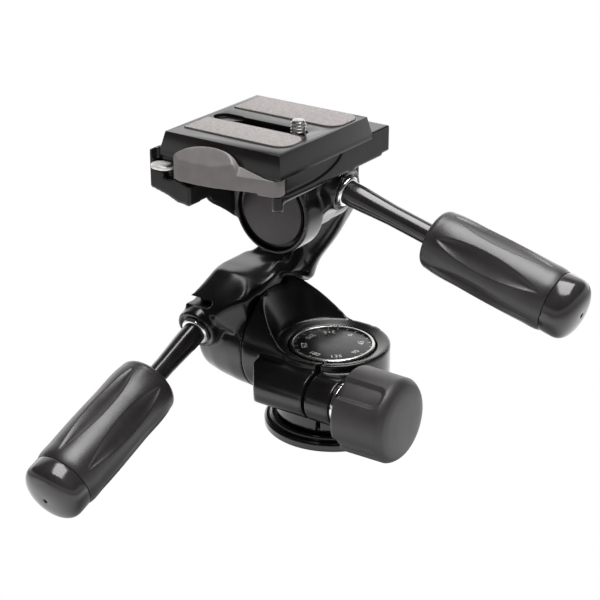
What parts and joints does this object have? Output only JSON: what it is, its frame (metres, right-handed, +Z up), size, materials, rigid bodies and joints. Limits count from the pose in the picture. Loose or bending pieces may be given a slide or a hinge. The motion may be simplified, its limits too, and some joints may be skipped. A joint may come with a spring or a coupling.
{
  "type": "three way pan tilt head",
  "caption": "Tripod head with pan, front tilt and side tilt joints, two screw-lock handles, a pan lock knob and a quick-release camera plate.",
  "frame": {"origin": "mouth of the tripod thread under the base, on the pan axis", "axes": "+Z up along the pan axis; +X along the front tilt axis towards the pan knob; +Y the way the lens looks"},
  "size_m": [0.1885, 0.1626, 0.1547],
  "materials": {
    "body_black": "black coated",
    "grip_grey": "matte",
    "cap_grey": "satin",
    "rod_steel": "black oxide",
    "steel": "machined",
    "chrome": "polished",
    "aluminium": "anodised",
    "bearing_plastic": "plain",
    "pad_rubber": "matte",
    "lever_metal": "satin",
    "dial_black": "satin",
    "cap_satin": "satin"
  },
  "bodies": {
    "base": {"base_flange": "body_black", "thread_insert": "steel", "pan_snap_ring": "steel", "pan_thrust_washer": "bearing_plastic", "dial_disc": "dial_black", "dial_bezel": "aluminium"},
    "pan_head": {"pan_housing": "body_black", "pan_sleeve": "bearing_plastic", "knob_washer": "chrome", "front_tilt_spindle": "aluminium", "front_spindle_bolt": "steel", "front_spindle_cap": "cap_satin"},
    "pan_knob": {"knob_grip": "grip_grey", "knob_core": "body_black", "pan_clamp_stud": "steel"},
    "tilt_arm": {"tilt_arm": "body_black", "front_tilt_sleeve": "bearing_plastic", "front_lock_plug": "steel", "side_tilt_spindle": "aluminium", "side_spindle_bolt": "steel", "side_spindle_cap": "cap_satin"},
    "tilt_handle": {"tilt_handle_rod": "rod_steel", "tilt_handle_collar": "chrome", "tilt_handle_grip": "grip_grey", "tilt_handle_end_cap": "cap_grey"},
    "receiver": {"receiver": "body_black", "side_tilt_sleeve": "bearing_plastic", "side_lock_plug": "steel", "lever_pivot_post": "steel", "catch_spring": "steel"},
    "side_handle": {"side_handle_rod": "rod_steel", "side_handle_collar": "chrome", "side_handle_grip": "grip_grey", "side_handle_end_cap": "cap_grey"},
    "release_lever": {"release_lever": "lever_metal"},
    "safety_catch": {"safety_catch": "chrome"},
    "camera_plate": {"camera_plate": "body_black", "front_pad": "pad_rubber", "rear_pad": "pad_rubber"},
    "screw_slider": {"screw_slider": "steel"},
    "camera_screw": {"camera_screw": "steel"}
  },
  "joints": [
    {"name": "pan", "type": "hinge", "parent": "base", "child": "pan_head", "pos_m": [0, 0, 0.02], "axis": [0, 0, 1], "continuous": true},
    {"name": "pan_lock", "type": "hinge", "parent": "pan_head", "child": "pan_knob", "pos_m": [0, -0.025, 0.025], "axis": [1, 0, 0], "range_deg": [0, 180]},
    {"name": "front_tilt", "type": "hinge", "parent": "pan_head", "child": "tilt_arm", "pos_m": [-0.046, 0, 0.033], "axis": [1, 0, 0], "range_deg": [-90, 30]},
    {"name": "tilt_lock", "type": "hinge", "parent": "tilt_arm", "child": "tilt_handle", "pos_m": [-0.052, 0, 0.053], "axis": [0, -0.933, -0.36], "range_deg": [0, 180]},
    {"name": "side_tilt", "type": "hinge", "parent": "tilt_arm", "child": "receiver", "pos_m": [-0.0136, 0, 0.1038], "axis": [0, 1, 0], "range_deg": [-90, 25]},
    {"name": "side_lock", "type": "hinge", "parent": "receiver", "child": "side_handle", "pos_m": [-0.0136, -0.008, 0.1193], "axis": [0.9668, 0, -0.2554], "range_deg": [0, 180]},
    {"name": "lever_swing", "type": "hinge", "parent": "receiver", "child": "release_lever", "pos_m": [0.0116, -0.0566, 0.125], "axis": [0, 0, 1], "range_deg": [0, 60]},
    {"name": "catch_press", "type": "slide", "parent": "receiver", "child": "safety_catch", "axis": [0, 1, 0], "range_m": [0, 0.003], "stiffness_N_per_m": 200, "deforming": ["catch_spring"]},
    {"name": "plate_lift", "type": "slide", "parent": "receiver", "child": "camera_plate", "axis": [0, 0, 1], "range_m": [0, 0.03]},
    {"name": "screw_slide", "type": "slide", "parent": "camera_plate", "child": "screw_slider", "axis": [-1, 0, 0], "range_m": [0, 0.0285]},
    {"name": "screw_turn", "type": "hinge", "parent": "screw_slider", "child": "camera_screw", "pos_m": [0.0028, -0.03, 0.14], "axis": [0, 0, 1], "continuous": true}
  ]
}
